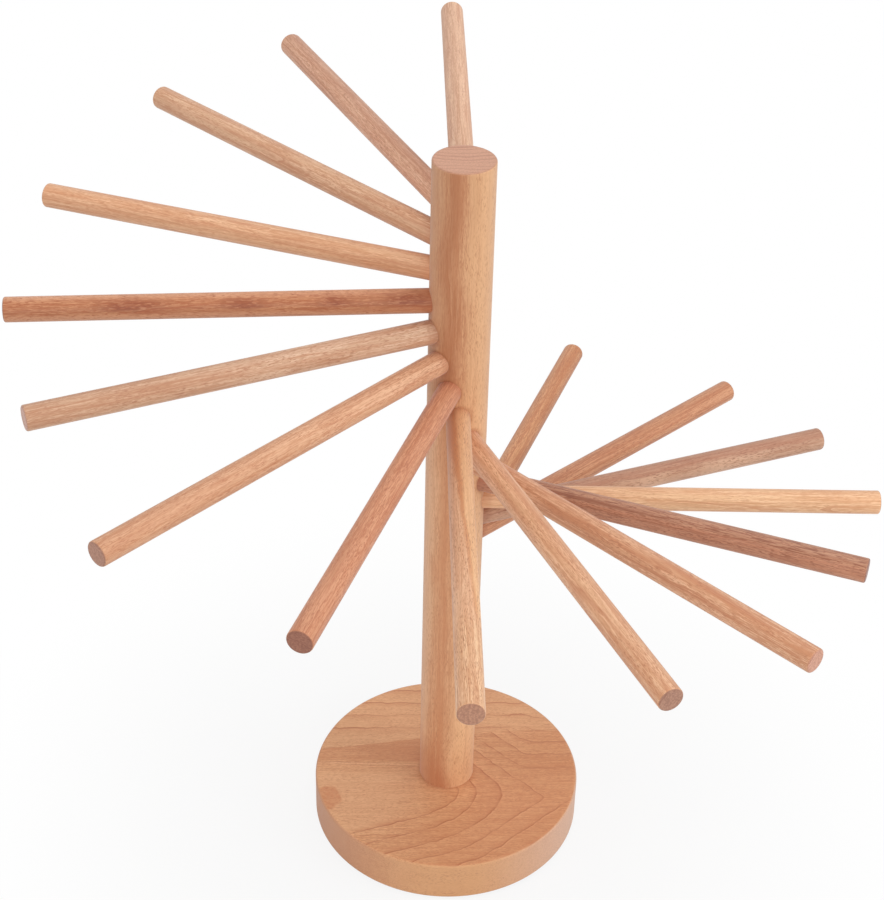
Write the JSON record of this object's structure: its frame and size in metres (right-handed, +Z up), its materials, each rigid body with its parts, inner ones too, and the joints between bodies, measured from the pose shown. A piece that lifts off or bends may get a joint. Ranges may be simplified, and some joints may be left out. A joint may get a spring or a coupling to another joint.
{
  "type": "pasta drying rack",
  "caption": "Wooden post on a round base, with plain rods that push into sockets down the post in one falling spiral turn. Fresh pasta hangs over the rods to dry.",
  "frame": {"origin": "on the post's axis, at the underside of the felt that the rack stands on", "axes": "+Z up along the post; +Y along the highest rod, to a quarter of a degree; the rods fall anticlockwise seen from above"},
  "size_m": [0.4297, 0.4352, 0.4056],
  "materials": {
    "beech_base": "smooth sanded beech with arched growth rings, no lacquer",
    "beech_post": "smooth sanded beech with straight grain and short flecks, no lacquer",
    "steel": "zinc plated",
    "brass": "plain turned brass",
    "felt": "pressed wool felt",
    "beech_pale": "smooth sanded beech dowel, no lacquer",
    "beech_tan": "smooth sanded beech dowel, no lacquer",
    "beech_pink": "smooth sanded beech dowel, no lacquer",
    "beech_russet": "smooth sanded beech dowel, no lacquer"
  },
  "bodies": {
    "stand": {"base": "beech_base", "post": "beech_post", "base_bolt": "steel", "bolt_washer": "steel", "post_insert": "brass", "base_felt": "felt"},
    "rod_01": {"rod_01": "beech_pale"},
    "rod_02": {"rod_02": "beech_pink"},
    "rod_03": {"rod_03": "beech_tan"},
    "rod_04": {"rod_04": "beech_tan"},
    "rod_05": {"rod_05": "beech_russet"},
    "rod_06": {"rod_06": "beech_pink"},
    "rod_07": {"rod_07": "beech_tan"},
    "rod_08": {"rod_08": "beech_pink"},
    "rod_09": {"rod_09": "beech_tan"},
    "rod_10": {"rod_10": "beech_tan"},
    "rod_11": {"rod_11": "beech_tan"},
    "rod_12": {"rod_12": "beech_russet"},
    "rod_13": {"rod_13": "beech_pale"},
    "rod_14": {"rod_14": "beech_pink"},
    "rod_15": {"rod_15": "beech_russet"},
    "rod_16": {"rod_16": "beech_pink"}
  },
  "joints": [
    {"name": "rod_01_pull", "type": "slide", "parent": "stand", "child": "rod_01", "axis": [0.0039, 1, 0], "range_m": [0, 0.012]},
    {"name": "rod_02_pull", "type": "slide", "parent": "stand", "child": "rod_02", "axis": [-0.4007, 0.9162, 0], "range_m": [0, 0.012]},
    {"name": "rod_03_pull", "type": "slide", "parent": "stand", "child": "rod_03", "axis": [-0.6931, 0.7209, 0], "range_m": [0, 0.012]},
    {"name": "rod_04_pull", "type": "slide", "parent": "stand", "child": "rod_04", "axis": [-0.9368, 0.3498, 0], "range_m": [0, 0.012]},
    {"name": "rod_05_pull", "type": "slide", "parent": "stand", "child": "rod_05", "axis": [-0.9987, -0.051, 0], "range_m": [0, 0.012]},
    {"name": "rod_06_pull", "type": "slide", "parent": "stand", "child": "rod_06", "axis": [-0.9254, -0.3791, 0], "range_m": [0, 0.012]},
    {"name": "rod_07_pull", "type": "slide", "parent": "stand", "child": "rod_07", "axis": [-0.6987, -0.7154, 0], "range_m": [0, 0.012]},
    {"name": "rod_08_pull", "type": "slide", "parent": "stand", "child": "rod_08", "axis": [-0.335, -0.9422, 0], "range_m": [0, 0.012]},
    {"name": "rod_09_pull", "type": "slide", "parent": "stand", "child": "rod_09", "axis": [-0.0079, -1, 0], "range_m": [0, 0.012]},
    {"name": "rod_10_pull", "type": "slide", "parent": "stand", "child": "rod_10", "axis": [0.3791, -0.9254, 0], "range_m": [0, 0.012]},
    {"name": "rod_11_pull", "type": "slide", "parent": "stand", "child": "rod_11", "axis": [0.6874, -0.7263, 0], "range_m": [0, 0.012]},
    {"name": "rod_12_pull", "type": "slide", "parent": "stand", "child": "rod_12", "axis": [0.9254, -0.3791, 0], "range_m": [0, 0.012]},
    {"name": "rod_13_pull", "type": "slide", "parent": "stand", "child": "rod_13", "axis": [0.9997, -0.0236, 0], "range_m": [0, 0.012]},
    {"name": "rod_14_pull", "type": "slide", "parent": "stand", "child": "rod_14", "axis": [0.9409, 0.3387, 0], "range_m": [0, 0.012]},
    {"name": "rod_15_pull", "type": "slide", "parent": "stand", "child": "rod_15", "axis": [0.7527, 0.6584, 0], "range_m": [0, 0.012]},
    {"name": "rod_16_pull", "type": "slide", "parent": "stand", "child": "rod_16", "axis": [0.3608, 0.9326, 0], "range_m": [0, 0.012]}
  ]
}
